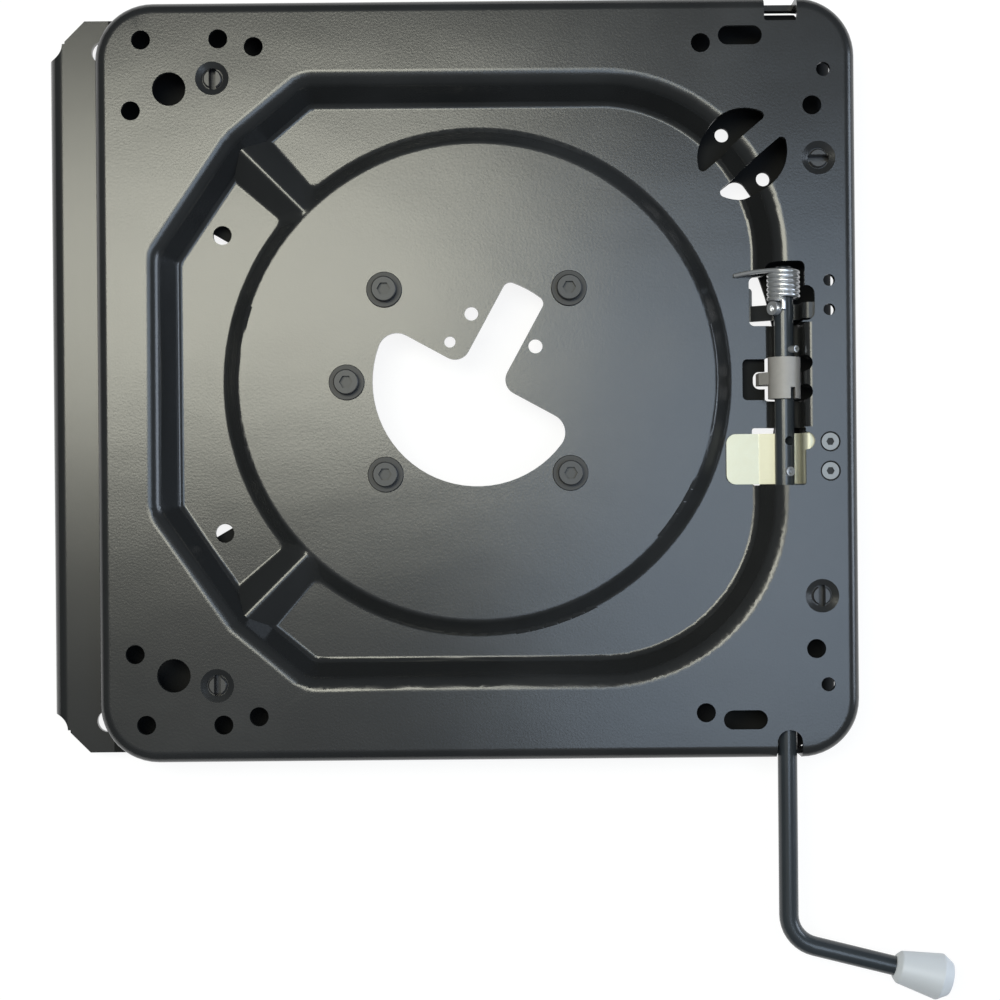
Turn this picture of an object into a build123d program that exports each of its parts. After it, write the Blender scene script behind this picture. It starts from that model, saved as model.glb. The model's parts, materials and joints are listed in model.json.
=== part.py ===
from build123d import *
import math
import os

# Swivel seat base: a fixed lower plate, a turntable that turns on it about +Z,
# and a hand lever that unlocks the turntable. Millimetres, +Z up.
# The origin lies on the swivel axis, on the surface that the base stands on.
# +X points to the lock side, and the lever leaves the turntable towards -Y.

# Sheet metal and main levels, measured up from the mounting surface
SHEET = 3.0                  # thickness of both pressed plates
BASE_TOP_Z = 17.0            # top face of the lower plate's frame
RIM_Z = 48.0                 # top face of the turntable's rim, where the seat sits
RECESS_DEPTH = 20.0          # rim down to the pressed platform
DISC_DROP = 13.0             # rim down to the raised central disc
SKIRT_HEIGHT = 24.0          # down-turned edge of the turntable
RUN_GAP = 0.3                # clearance between parts that pass each other
BEARING_GAP = 0.05           # radial running clearance of a shaft

# Turntable outline
PLATE_SIDE = 390.0
PLATE_CORNER_R = 30.0
PLATE_EDGE_R = 6.5
PLATE_HALF = PLATE_SIDE / 2

# Pressed recess of the turntable, set in from the plate's edges
RIM_WIDTH = 50.0             # near and far edge of the plate to the foot of the recess wall
RIM_WIDTH_LEFT = 39.4
RIM_WIDTH_RIGHT = 49.5
SHOULDER_RUN = 69.9          # recess's left side to where its long sides begin
SHOULDER_DROP = 81.5         # long sides down to where the left side begins
KNEE_RUN = 37.1              # hidden corner of the outline under each ridge
KNEE_DROP = 27.5
RECESS_RIGHT_R = 82.0
RECESS_LEFT_R = 6.0
WALL_RUN = 8.5               # how far the recess wall leans out over its height
RIM_LIP_R = 9.0              # soft edge from the rim down into the recess
PLATFORM_R = 4.0             # sharper corner from the wall on to the platform
PLATFORM_WIDTH = 13.5        # narrowest way between the recess wall and the disc
RING_RUN = 7.0
RING_EDGE_R = 4.0
RIDGE_ANGLES = (135.0, 225.0)
RIDGE_HALF_ANGLE = 4.9       # the two ridges widen away from the swivel axis
RIDGE_FADE = 8.0             # how far inside the disc's edge a ridge comes level with it
RIDGE_CREST_R = 4.0
RIDGE_ROOT_R = 8.0
RIDGE_PAST_RING = 65.5       # past the disc's edge, to end inside the rim
RECESS_LEFT_X = -(PLATE_HALF - RIM_WIDTH_LEFT)
RECESS_RIGHT_X = PLATE_HALF - RIM_WIDTH_RIGHT
RECESS_HALF_Y = PLATE_HALF - RIM_WIDTH
RECESS_LEFT_HALF_Y = RECESS_HALF_Y - SHOULDER_DROP
RECESS_SHOULDER_X = RECESS_LEFT_X + SHOULDER_RUN
RECESS_KNEE = (RECESS_LEFT_X + KNEE_RUN, RECESS_HALF_Y - KNEE_DROP)
RING_TOP_R = RECESS_HALF_Y - PLATFORM_WIDTH - RING_RUN
RIDGE_REACH = RING_TOP_R + RIDGE_PAST_RING

# Radii of the centre bearing, from the disc's edge inwards
LAND_INSET = 20.5            # disc's edge to the fixed plate's bearing land
LAND_WIDTH = 24.0
RETAINING_OVERLAP = 16.0     # how far the retaining ring reaches under the land
HUB_WIDTH = 22.7
BOLT_INSET = 10.7            # hub's bore to the bolt circle
CUTOUT_LEDGE = 2.6           # hub's bore to the round side of the centre cut-out
LAND_OUTER_R = RING_TOP_R - LAND_INSET
LAND_INNER_R = LAND_OUTER_R - LAND_WIDTH
HUB_OUTER_R = LAND_INNER_R - RUN_GAP
HUB_INNER_R = HUB_OUTER_R - HUB_WIDTH
RETAINING_RING_R = LAND_INNER_R + RETAINING_OVERLAP
BOLT_CIRCLE_R = HUB_INNER_R + BOLT_INSET
CUTOUT_R = HUB_INNER_R - CUTOUT_LEDGE

# Cut-outs of the turntable
ARM_ANGLE = 61.2             # direction of the centre cut-out's arm
CUTOUT_CHORD = 3.5
CUTOUT_ARM_WIDTH = 22.8
CUTOUT_LOBE_R = 10.0
CUTOUT_INNER_R = 8.0
CUTOUT_ARM_R = 4.0
PILOT_HOLES = ((19.2, 33.4, 3.55), (29.5, 63.2, 2.9), (19.2, -30.6, 3.65))
PLATFORM_HOLE_RUN = 23.1     # from the recess's left side
PLATFORM_HOLE_RISE = 14.3    # past the end of the left side
PLATFORM_HOLE_R = 4.9
ACCESS_R = 22.0              # round access opening crossed by a radial bar
ACCESS_INSET = 15.0
ACCESS_ANGLE = 40.1
ACCESS_BAR_WIDTH = 12.6
ACCESS_CORNER_R = 2.5
ACCESS_RADIUS = PLATE_HALF - ACCESS_INSET

# Holes in the rim. Insets are counted from the plate's side edge and from its
# near and far edges, and each hole is repeated on the other side of the X axis
SEAT_HOLE_R = 4.9
SEAT_INNER_OFFSET = 1.4      # inner fixing pattern's centre, off the swivel axis
SEAT_INNER_INSETS = (80.7, 23.7)
SEAT_OUTER_OFFSET = -1.8
SEAT_OUTER_INSETS = (20.8, 56.0)
SEAT_LEFT_INSETS = ((64.0, 19.6), (24.5, 19.8))
SEAT_SLOT_INSETS = (59.1, 19.9)
SEAT_SLOT_LENGTH = 22.5
DRAIN_HOLE_INSETS = (38.7, 45.0)
DRAIN_HOLE_R = 8.6
SMALL_HOLE_INSETS = (16.7, 37.7)
SMALL_HOLE_R = 3.6

# Lower plate
BASE_LEFT_REACH = 30.5       # past the turntable's left edge
BASE_RIGHT_INSET = 7.0
BASE_SIDE_INSET = 2.0
BASE_BEND_R = 8.0
BASE_CORNER_CUT = 10.6
BASE_FLANGE_INSET = 20.3
BASE_RELIEF_R = 8.5
BASE_RELIEF_OFFSET = 1.0
BASE_HOLE_R = 5.7
BASE_HOLE_LEFT_INSET = 28.9
BASE_HOLE_RIGHT_INSET = 18.0
BASE_HOLE_SIDE_INSET = 16.5
BASE_WINDOW_HOLE_R = 3.7
BASE_WINDOW_HOLES = ((3.7, 4.9), (5.2, -5.0))
PLATEAU_LIFT = 3.4           # raised step of the lower plate
BEARING_SEAT_R = 3.0         # past the land's edge to the hole under the bearing ring
BEARING_FLANGE = 14.4        # bearing ring's flat flange on the plateau
PLATEAU_INSET = 4.4          # lock tab's tip to the plateau's edge
VOID_STEP = 3.6              # plateau's edge to the openings inside it
VOID_MARGIN = 18.0           # openings to the plate's near and far edges
VOID_SPANS = ((-38.0, 38.0), (62.0, 118.0), (150.0, 210.0), (242.0, 298.0))
VOID_CORNER_R = 6.0
TRACK_HALF_ANGLE = 28.0      # the frame reaches in towards each lock tab
TRACK_GAP = 7.5              # lock tab's tip to the frame beside it
LOCK_TAB_INSET = 7.6         # rod's axis to the tip of the lock tab
LOCK_TAB_HALF = 16.0
LOCK_TAB_ROOT = 14.0
LOCK_NOTCH_DEPTH = 6.2
LOCK_NOTCH_WIDTH = 9.2
LOCK_NOTCH_R = 3.5

# Centre bearing, from the disc down
SLIDE_RING_T = 2.0
SLIDE_RING_INSET = 1.0
RETAINING_RING_T = 4.0
CENTRE_BOLT_ANGLES = (45.0, 135.0, 180.0, 225.0, 315.0)
BOLT_D = 8.0
BOLT_HOLE_R = 4.25
BOLT_HEAD_R = 6.5
BOLT_HEAD_H = 5.0
BOLT_HEX = 6.0
BOLT_HEX_DEPTH = 3.0
WASHER_R = 9.25
WASHER_T = 1.6
NUT_FLATS = 13.0
NUT_H = 6.5
NUT_STANDOUT = 1.5           # bolt end past the nut

# Glide buttons that hang from the rim and run on the lower plate's frame
GLIDE_LEFT_INSETS = (60.8, 39.7)
GLIDE_RIGHT_INSETS = (19.4, 83.0)
GLIDE_SLOT_ANGLES = (90.0, 90.0, 0.0, 90.0)
GLIDE_HOLE_R = 5.5
GLIDE_DISH_R = 8.6
GLIDE_DISH_DEPTH = 1.4
GLIDE_STEM_R = 4.9
GLIDE_BODY_R = 9.0
GLIDE_FOOT_R = 11.0
GLIDE_FOOT_H = 4.0
GLIDE_SLOT_W = 3.6
GLIDE_SLOT_DEPTH = 9.0
GLIDE_STEM_BELOW_RIM = 0.8

# Lever and lock
ROD_R = 5.0
ROD_INSET = 13.1             # recess's right side to the rod's axis
ROD_X = RECESS_RIGHT_X + ROD_INSET
ROD_Z = 37.5
ROD_TOP_Y = 57.5
ROD_PAST_PLATE = 95.3        # plate's edge to the corner of the rod
ROD_BEND_R = 17.0
ARM_DROP_ANGLE = 14.2        # the arm leans this far towards -Y
ARM_TO_KNOB = 55.9
KNOB_LENGTH = 30.4
KNOB_SMALL_R = 8.3
KNOB_BIG_R = 11.9
KNOB_BORE_DEPTH = 20.0
SLEEVE_R = 8.35
SLEEVE_BORE_GAP = 0.05
SLEEVE_HALF = 10.7
SLEEVE_SLOT_W = 2.6
SLEEVE_SLOT_L = 5.8
NOSE_REACH = 12.4            # rod's axis to the nose's side face
NOSE_WIDTH = 6.3
NOSE_THICK = 6.3
NOSE_HOVER = 0.4             # nose to the lock tab's top face
STOP_PIN_Y = 14.6
STOP_PIN_R = 1.8
STOP_PIN_TILT = 37.0
STOP_PIN_REACH = 9.0
ROD_PIN_Y = -48.2
ROD_HOLE_Y = -32.4
ROD_PIN_R = 2.4
ROD_PIN_TILT = 22.0
ROD_PIN_REACH = 6.0
LEVER_SWING = 20.0           # free lift of the lever

# Torsion spring round the rod
WIRE_R = 1.15
COIL_R = 7.4
COIL_TURNS = 6
COIL_PITCH = 2.42
COIL_TOP_Y = 55.2
COIL_END_ANGLE = 114.0
SPRING_FOOT_REACH = 24.0
SPRING_FOOT_Y = 54.2
SPRING_TAIL_R = 2.0
SPRING_TAIL = 3.4
SCREW_TILT = -50.0
SCREW_HEAD_R = 3.5
SCREW_HEAD_H = 3.6
SCREW_SHANK_R = 1.9

# Brackets that carry the rod
STRAP = 2.0
FLANGE_HOLE_INSET = 14.6
FLANGE_HOLE_R = 3.0
FLANGE_HOLE_SPACING = 15.0
FLANGE_INSET = 8.0
LOWER_BRACKET_Y = (-54.6, -28.4)
LOWER_TAB_REACH = 29.2
LOWER_TAB_R = 5.0
UPPER_BRACKET_Y = (30.5, 38.6)
UPPER_FLANGE_Y = (26.5, 56.5)
UPPER_FOOT_REACH = 24.6
UPPER_FOOT_END = 14.6
UPPER_FOOT_RISE = 15.1
UPPER_FOOT_Y = (31.4, 48.0)
UPPER_HOLES_Y = 41.9
LOWER_HOLES_Y = -40.6
FLANGE_SCREW_HEAD_R = 4.4
FLANGE_SCREW_SUNK = 0.3      # head below the rim
FLANGE_SINK_R = 5.2          # countersink at the rim
FLANGE_SCREW_R = 2.9
FLANGE_SCREW_HEX = 3.6
FLANGE_NUT_FLATS = 10.0
FLANGE_NUT_H = 5.0

# Channel that lets the rod lie lower than the rim, between its two brackets
CHANNEL_R = 9.4
CHANNEL_DROP = 3.0           # channel's axis under the rod's axis
CHANNEL_EDGE_R = 3.8
CHANNEL_PAST_UPPER = 2.3     # upper bracket's near side to the channel's end

# Opening over the lock, each reach counted from the rod's axis
BAY_GAP = 0.6
SLEEVE_BAY_REACH = 9.0
SPRING_BAY_REACH = 16.6
SPRING_TOP_REACH = 9.4
SPRING_TOP_GAP = 2.0
WING_LOBE_REACH = 14.4
WING_LOBE_SPAN = 18.0
NOSE_WINDOW_REACH = 20.3
NOSE_WINDOW_HALF = 10.7
SLEEVE_LOBE_REACH = 8.9
SLEEVE_LOBE_OFFSET = 7.4
SLEEVE_LOBE_R = 4.2
BRACKET_BAY_REACH = 15.6
BRACKET_BAY_PAST = 3.1
BRACKET_LOBE_R = 4.6
NOTCH_GAP = 1.5
NOTCH_DEPTH = 14.4
NOTCH_BELOW = 3.0
SPARE_NOTCH_REACH = (10.2, 6.6)
SPARE_NOTCH_DEPTH = 12.6

# Levels and shapes worked out from the sizes above
PLATFORM_Z = RIM_Z - RECESS_DEPTH
DISC_Z = RIM_Z - DISC_DROP
RIM_UNDER_Z = RIM_Z - SHEET
SKIRT_Z = RIM_Z - SKIRT_HEIGHT
WALL_ANGLE = math.degrees(math.atan2(RECESS_DEPTH, WALL_RUN))
RING_LIFT = RECESS_DEPTH - DISC_DROP
RING_ANGLE = math.degrees(math.atan2(RING_LIFT, RING_RUN))
RIDGE_SLOPE = RING_LIFT / ((RING_TOP_R - RIDGE_FADE) * math.tan(math.radians(RIDGE_HALF_ANGLE)))
DISC_UNDER_Z = DISC_Z - SHEET
LAND_TOP_Z = DISC_UNDER_Z - SLIDE_RING_T
LAND_UNDER_Z = LAND_TOP_Z - SHEET
RETAINING_TOP_Z = LAND_UNDER_Z - SLIDE_RING_T
RETAINING_UNDER_Z = RETAINING_TOP_Z - RETAINING_RING_T
PLATEAU_Z = BASE_TOP_Z + PLATEAU_LIFT
BASE_LEFT_X = -(PLATE_HALF + BASE_LEFT_REACH)
BASE_RIGHT_X = PLATE_HALF - BASE_RIGHT_INSET
BASE_HALF_Y = PLATE_HALF - BASE_SIDE_INSET
BASE_FLANGE_HALF = BASE_HALF_Y - BASE_FLANGE_INSET
LOCK_TAB_R = ROD_X - LOCK_TAB_INSET
PLATEAU_R = LOCK_TAB_R - PLATEAU_INSET
VOID_INNER_R = PLATEAU_R - VOID_STEP
VOID_OUTER_R = BASE_HALF_Y - VOID_MARGIN
ROD_BEND_Y = -(PLATE_HALF + ROD_PAST_PLATE)
FLANGE_HOLE_X = PLATE_HALF - FLANGE_HOLE_INSET
FLANGE_REACH = PLATE_HALF - FLANGE_INSET
SCREW_Y = COIL_TOP_Y - COIL_TURNS * COIL_PITCH - WIRE_R - SCREW_HEAD_R - RUN_GAP
CUT_LOW_Z = -1.0
CUT_HIGH_Z = RIM_Z + 2.0


def is_level(edge, z):
    box = edge.bounding_box()
    return abs(box.max.Z - z) < 1e-3 and abs(box.min.Z - z) < 1e-3


def radius_of(edge):
    point = edge @ 0.5
    return math.hypot(point.X, point.Y)


def mirror_pair(point):
    return [(point[0], point[1]), (point[0], -point[1])]


def rim_point(side, insets):
    """Point in the rim: side is -1 for the left edge and 1 for the right."""
    return (side * (PLATE_HALF - insets[0]), PLATE_HALF - insets[1])


def rectangle_points(centre_x, spacing_x, spacing_y):
    points = []
    for x in (centre_x - spacing_x / 2, centre_x + spacing_x / 2):
        points += mirror_pair((x, spacing_y / 2))
    return points


def polar_point(radius, angle):
    return (radius * math.cos(math.radians(angle)), radius * math.sin(math.radians(angle)))


def drill(points, radius, low_z=CUT_LOW_Z, high_z=CUT_HIGH_Z):
    """Round holes along Z at the given points."""
    cutters = []
    for x, y in points:
        cutters.append(Pos(x, y, (low_z + high_z) / 2) * Cylinder(radius, high_z - low_z))
    return cutters


def punch(sketch, low_z=CUT_LOW_Z, high_z=CUT_HIGH_Z):
    """A cutter of a flat outline, straight along Z."""
    return extrude(Pos(0, 0, low_z) * sketch, high_z - low_z)


# Turntable


def recess_outline(grow):
    """Outline of the recess at platform level, moved outwards by grow."""
    knee_x, knee_y = RECESS_KNEE
    upper = [
        (RECESS_LEFT_X, RECESS_LEFT_HALF_Y),
        (knee_x, knee_y),
        (RECESS_SHOULDER_X, RECESS_HALF_Y),
        (RECESS_RIGHT_X, RECESS_HALF_Y),
    ]
    lower = [(x, -y) for x, y in reversed(upper)]
    face = make_face(Polyline(*upper, *lower, close=True))
    right = [v for v in face.vertices() if v.X > 0]
    face = fillet(right, RECESS_RIGHT_R)
    left = [v for v in face.vertices() if v.X < RECESS_SHOULDER_X / 2]
    face = fillet(left, RECESS_LEFT_R)
    if grow:
        face = offset(face, grow, kind=Kind.ARC)
    return face


def ridge(angle, inset):
    """One radial ridge: a wedge of flat sides that widens and rises outwards."""
    base_z = PLATFORM_Z - inset
    deep = SHEET + 1.0
    shrink = inset * math.tan(math.atan(RIDGE_SLOPE) / 2)

    def section(radius):
        half = radius * math.tan(math.radians(RIDGE_HALF_ANGLE)) - shrink
        foot = half + deep / RIDGE_SLOPE
        return [
            (radius, -foot, base_z - deep),
            (radius, foot, base_z - deep),
            (radius, 0, base_z + half * RIDGE_SLOPE),
        ]

    inner = section(RING_TOP_R * 0.75)
    outer = section(RIDGE_REACH)
    faces = [Face(Wire.make_polygon(inner)), Face(Wire.make_polygon(outer))]
    for i in range(3):
        j = (i + 1) % 3
        faces.append(Face(Wire.make_polygon([inner[i], inner[j], outer[j], outer[i]])))
    wedge = Solid(Shell(faces))
    crest = [e for e in wedge.edges() if abs((e @ 0).Y) < 1e-6 and abs((e @ 1).Y) < 1e-6]
    wedge = fillet(crest, RIDGE_CREST_R - inset)
    return Rot(0, 0, angle) * wedge


def rod_channel(inset):
    """Half-round channel along the rod, open to the platform, grown by inset."""
    radius = CHANNEL_R + inset
    low_y = LOWER_BRACKET_Y[1] + SHEET - inset
    high_y = UPPER_BRACKET_Y[0] - CHANNEL_PAST_UPPER + inset
    floor_z = PLATFORM_Z - inset
    axis_z = ROD_Z - CHANNEL_DROP
    open_x = RECESS_RIGHT_X - 2 * PLATFORM_R - inset
    top_z = RIM_Z + SHEET
    plane = Plane(origin=(0, high_y, 0), x_dir=(1, 0, 0), z_dir=(0, -1, 0))
    shape = Pos(ROD_X, axis_z) * Circle(radius)
    right = ROD_X + radius
    shape += Pos((open_x + right) / 2, (axis_z + top_z) / 2) * Rectangle(right - open_x, top_z - axis_z)
    shape += Pos((open_x + ROD_X) / 2, (floor_z + top_z) / 2) * Rectangle(ROD_X - open_x, top_z - floor_z)
    return extrude(plane * shape, high_y - low_y)


def is_channel_lip(edge, radius):
    """The channel's long upper edges: at the rim on its right, at the platform on its left."""
    start, end = edge @ 0, edge @ 1
    along = abs(start.X - end.X) < 1e-3 and abs(start.Y - end.Y) > radius
    inside = ROD_X - radius < start.X < ROD_X + radius + 1e-3
    return along and inside


def turntable_form(inset):
    """Solid under the pressed surface, sunk by inset square to the surface."""
    half = PLATE_SIDE / 2 - inset
    low = PLATFORM_Z - 3 * SHEET
    rim_z = RIM_Z - inset
    platform_z = PLATFORM_Z - inset
    outline = RectangleRounded(2 * half, 2 * half, PLATE_CORNER_R - inset)
    block = extrude(Pos(0, 0, low) * outline, rim_z - low)
    block = fillet(block.faces().sort_by(Axis.Z)[-1].edges(), PLATE_EDGE_R - inset)
    floor = recess_outline(inset * math.tan(math.radians(WALL_ANGLE / 2)))
    plug = extrude(Pos(0, 0, platform_z) * floor, RECESS_DEPTH + SHEET, taper=WALL_ANGLE - 90)
    body = block - plug
    lip_limit = half - PLATE_EDGE_R - RIM_LIP_R
    lip = [e for e in body.edges() if is_level(e, rim_z)]
    lip = [e for e in lip if max(abs((e @ 0.5).X), abs((e @ 0.5).Y)) < lip_limit]
    body = fillet(lip, RIM_LIP_R - inset)
    shrink = inset * math.tan(math.radians(RING_ANGLE / 2))
    disc = Cone(
        RING_TOP_R + RING_RUN - shrink,
        RING_TOP_R - shrink,
        RING_LIFT,
        align=(Align.CENTER, Align.CENTER, Align.MIN),
    )
    disc = fillet(disc.edges().sort_by(Axis.Z)[-1], RING_EDGE_R - inset)
    body = body + Pos(0, 0, platform_z) * disc
    body = body + [ridge(angle, inset) for angle in RIDGE_ANGLES]
    reach = RING_TOP_R + 2 * RING_RUN
    roots = [e for e in body.edges() if RING_TOP_R - 2 < radius_of(e) < reach]
    roots = [e for e in roots if not is_level(e, (e @ 0.5).Z) and (e @ 0.5).Z < DISC_Z - inset]
    roots = [e for e in roots if abs(abs((e @ 0.5).X) - abs((e @ 0.5).Y)) < RING_TOP_R / 5]
    body = fillet(roots, RIDGE_ROOT_R)
    floor_edges = [e for e in body.edges() if is_level(e, platform_z)]
    body = fillet(floor_edges, PLATFORM_R + inset) - rod_channel(inset)
    lips = [e for e in body.edges() if is_level(e, rim_z) or is_level(e, platform_z)]
    lips = [e for e in lips if is_channel_lip(e, CHANNEL_R + inset)]
    return fillet(lips, CHANNEL_EDGE_R - inset)


def centre_cutout():
    """Half disc with an arm, in the middle of the turntable."""
    big = 4 * CUTOUT_R
    half_plane = Pos(CUTOUT_CHORD - big / 2, 0) * Rectangle(big, big)
    arm = Pos(CUTOUT_R, 0) * Rectangle(2 * CUTOUT_R, CUTOUT_ARM_WIDTH)
    shape = Circle(CUTOUT_R) & (half_plane + arm)
    corners = shape.vertices()
    lobes = [v for v in corners if abs(v.Y) > CUTOUT_ARM_WIDTH]
    shape = fillet(lobes, CUTOUT_LOBE_R)
    near = [v for v in shape.vertices() if abs(abs(v.Y) - CUTOUT_ARM_WIDTH / 2) < 1e-3]
    tips = [v for v in near if v.X > CUTOUT_R / 2]
    shape = fillet(tips, CUTOUT_ARM_R)
    near = [v for v in shape.vertices() if abs(abs(v.Y) - CUTOUT_ARM_WIDTH / 2) < 1e-3]
    inner = [v for v in near if v.X < CUTOUT_R / 4]
    shape = fillet(inner, CUTOUT_INNER_R)
    return Rot(0, 0, ARM_ANGLE) * shape


def access_windows():
    """Round opening whose middle is kept as a radial bar."""
    disc = Circle(ACCESS_R) - Rectangle(3 * ACCESS_R, ACCESS_BAR_WIDTH)
    disc = fillet(disc.vertices(), ACCESS_CORNER_R)
    return Rot(0, 0, ACCESS_ANGLE) * (Pos(ACCESS_RADIUS, 0) * disc)


def box_outline(x0, x1, y0, y1, radius):
    shape = Pos((x0 + x1) / 2, (y0 + y1) / 2) * RectangleRounded(x1 - x0, y1 - y0, radius)
    return shape


def lock_opening():
    """Opening over the rod, the spring, the lock sleeve and the brackets."""
    lower_y, lower_end_y = LOWER_BRACKET_Y
    upper_y, upper_end_y = UPPER_BRACKET_Y
    top_y = ROD_TOP_Y + SPRING_TOP_GAP
    right = ROD_X + SPRING_TOP_REACH
    half = SLEEVE_HALF + BAY_GAP
    shape = box_outline(ROD_X - SPRING_BAY_REACH, right, upper_y - 2.5, ROD_TOP_Y - 4.0, 3.0)
    shape += box_outline(ROD_X - SPRING_TOP_REACH, right, upper_end_y - 2.6, top_y, 3.0)
    wing_y = upper_y - 1.5
    shape += box_outline(ROD_X, ROD_X + WING_LOBE_REACH, wing_y, wing_y + WING_LOBE_SPAN, 4.5)
    shape += box_outline(ROD_X - NOSE_WINDOW_REACH, ROD_X, -NOSE_WINDOW_HALF, NOSE_WINDOW_HALF, 2.5)
    for side in (-1, 1):
        shape += Pos(ROD_X + SLEEVE_LOBE_REACH, side * SLEEVE_LOBE_OFFSET) * Circle(SLEEVE_LOBE_R)
    shape += box_outline(ROD_X - SLEEVE_BAY_REACH, ROD_X + SLEEVE_BAY_REACH, -half, half, 2.0)
    bay_right = ROD_X + SPRING_TOP_REACH
    bay_end_y = lower_end_y + BRACKET_BAY_PAST
    shape += box_outline(ROD_X - BRACKET_BAY_REACH, bay_right, lower_y - BAY_GAP, bay_end_y, 1.5)
    lobe = Pos(ROD_X + SPRING_TOP_REACH, lower_end_y - BRACKET_LOBE_R + 0.4)
    return shape + lobe * Circle(BRACKET_LOBE_R)


def rod_notch():
    """U-shaped passage for the rod through the rim's edge and skirt."""
    half = ROD_R + NOTCH_GAP
    outside = PLATE_HALF + half + NOTCH_GAP
    shape = box_outline(ROD_X - half, ROD_X + half, -outside, NOTCH_DEPTH - PLATE_HALF, half - 0.2)
    return punch(shape, ROD_Z - ROD_R - NOTCH_BELOW)


def spare_notch():
    """Matching notch on the far side, for a base with its lever on that side."""
    left, right = SPARE_NOTCH_REACH
    inner = PLATE_HALF - SPARE_NOTCH_DEPTH
    shape = box_outline(ROD_X - left, ROD_X + right, inner, PLATE_HALF + SPARE_NOTCH_DEPTH, 1.5)
    return punch(shape, ROD_Z - ROD_R - NOTCH_BELOW)


def glide_points():
    return mirror_pair(rim_point(-1, GLIDE_LEFT_INSETS)) + mirror_pair(rim_point(1, GLIDE_RIGHT_INSETS))


def inset_rectangle(centre_x, insets):
    """Four points of a fixing pattern in the rim, by its insets from the edges."""
    return rectangle_points(centre_x, PLATE_SIDE - 2 * insets[0], PLATE_SIDE - 2 * insets[1])


def make_top_plate():
    plate = turntable_form(0.0) - turntable_form(SHEET)
    inner = PLATE_SIDE - 2 * SHEET - 2.0
    trim = Rectangle(PLATE_SIDE + 2, PLATE_SIDE + 2)
    trim -= RectangleRounded(inner, inner, PLATE_CORNER_R - SHEET - 1.0)
    plate -= punch(trim, CUT_LOW_Z, SKIRT_Z)
    plate -= punch(centre_cutout())
    plate -= punch(access_windows())
    plate -= punch(lock_opening())
    plate -= rod_notch()
    plate -= spare_notch()
    seat_points = inset_rectangle(SEAT_INNER_OFFSET, SEAT_INNER_INSETS)
    seat_points += inset_rectangle(SEAT_OUTER_OFFSET, SEAT_OUTER_INSETS)
    for insets in SEAT_LEFT_INSETS:
        seat_points += mirror_pair(rim_point(-1, insets))
    platform_hole = (RECESS_LEFT_X + PLATFORM_HOLE_RUN, RECESS_LEFT_HALF_Y + PLATFORM_HOLE_RISE)
    holes = drill(seat_points, SEAT_HOLE_R)
    holes += drill(mirror_pair(rim_point(-1, DRAIN_HOLE_INSETS)), DRAIN_HOLE_R)
    holes += drill(mirror_pair(rim_point(1, SMALL_HOLE_INSETS)), SMALL_HOLE_R)
    holes += drill(mirror_pair(platform_hole), PLATFORM_HOLE_R)
    holes += drill(glide_points(), GLIDE_HOLE_R)
    holes += drill(bolt_points(), BOLT_HOLE_R)
    holes += drill(flange_points(UPPER_HOLES_Y) + flange_points(LOWER_HOLES_Y), FLANGE_HOLE_R)
    sink = FLANGE_SINK_R - FLANGE_HOLE_R
    for x, y in flange_points(LOWER_HOLES_Y):
        holes.append(Pos(x, y, RIM_Z - sink / 2) * Cone(FLANGE_HOLE_R, FLANGE_SINK_R, sink))
    for inset, angle, hole_r in PILOT_HOLES:
        holes += drill([polar_point(CUTOUT_R - inset, ARM_ANGLE + angle)], hole_r)
    for x, y in mirror_pair(rim_point(1, SEAT_SLOT_INSETS)):
        slot = Pos(x, y) * SlotOverall(SEAT_SLOT_LENGTH, 2 * SEAT_HOLE_R)
        holes.append(punch(slot))
    for x, y in glide_points():
        dish = Cone(GLIDE_HOLE_R, GLIDE_DISH_R, GLIDE_DISH_DEPTH)
        holes.append(Pos(x, y, RIM_Z - GLIDE_DISH_DEPTH / 2) * dish)
    return plate - holes


# Lower plate


def base_form(inset):
    """Solid under the lower plate's pressed surface, sunk by inset."""
    left = BASE_LEFT_X + inset
    right = BASE_RIGHT_X - inset
    top = BASE_TOP_Z - inset
    length = right - left
    half_y = BASE_HALF_Y + inset
    block = Pos((left + right) / 2, 0, (top - inset) / 2) * Box(length, 2 * half_y, top + inset)
    bends = [e for e in block.edges() if is_level(e, top) and abs((e @ 0).X - (e @ 1).X) < 1e-3]
    block = fillet(bends, BASE_BEND_R - inset)
    shrink = inset * math.tan(math.radians(22.5))
    plateau = Cone(PLATEAU_R + PLATEAU_LIFT - shrink, PLATEAU_R - shrink, PLATEAU_LIFT)
    return block + Pos(0, 0, BASE_TOP_Z + PLATEAU_LIFT / 2 - inset) * plateau


def void_sector(start, end):
    """Ring sector cut from the lower plate between its spokes."""
    middle = (start + end) / 2
    spread = math.radians(end - start) / 2
    inner = [polar_point(VOID_INNER_R, math.degrees(a)) for a in (-spread, 0, spread)]
    outer = [polar_point(VOID_OUTER_R, math.degrees(a)) for a in (spread, 0, -spread)]
    edges = [ThreePointArc(*inner), Line(inner[2], outer[0])]
    edges += [ThreePointArc(*outer), Line(outer[2], inner[0])]
    face = make_face(edges)
    face = fillet(face.vertices(), VOID_CORNER_R)
    return Rot(0, 0, middle) * face


def lock_track():
    """Parts of the frame that reach in beside the lock tabs."""
    reach = 2 * VOID_OUTER_R
    rise = reach * math.tan(math.radians(TRACK_HALF_ANGLE))
    wedge = make_face(Polyline((0, 0), (reach, -rise), (reach, rise), close=True))
    track = wedge - Circle(LOCK_TAB_R + TRACK_GAP)
    return track + Rot(0, 0, 180) * track


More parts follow.
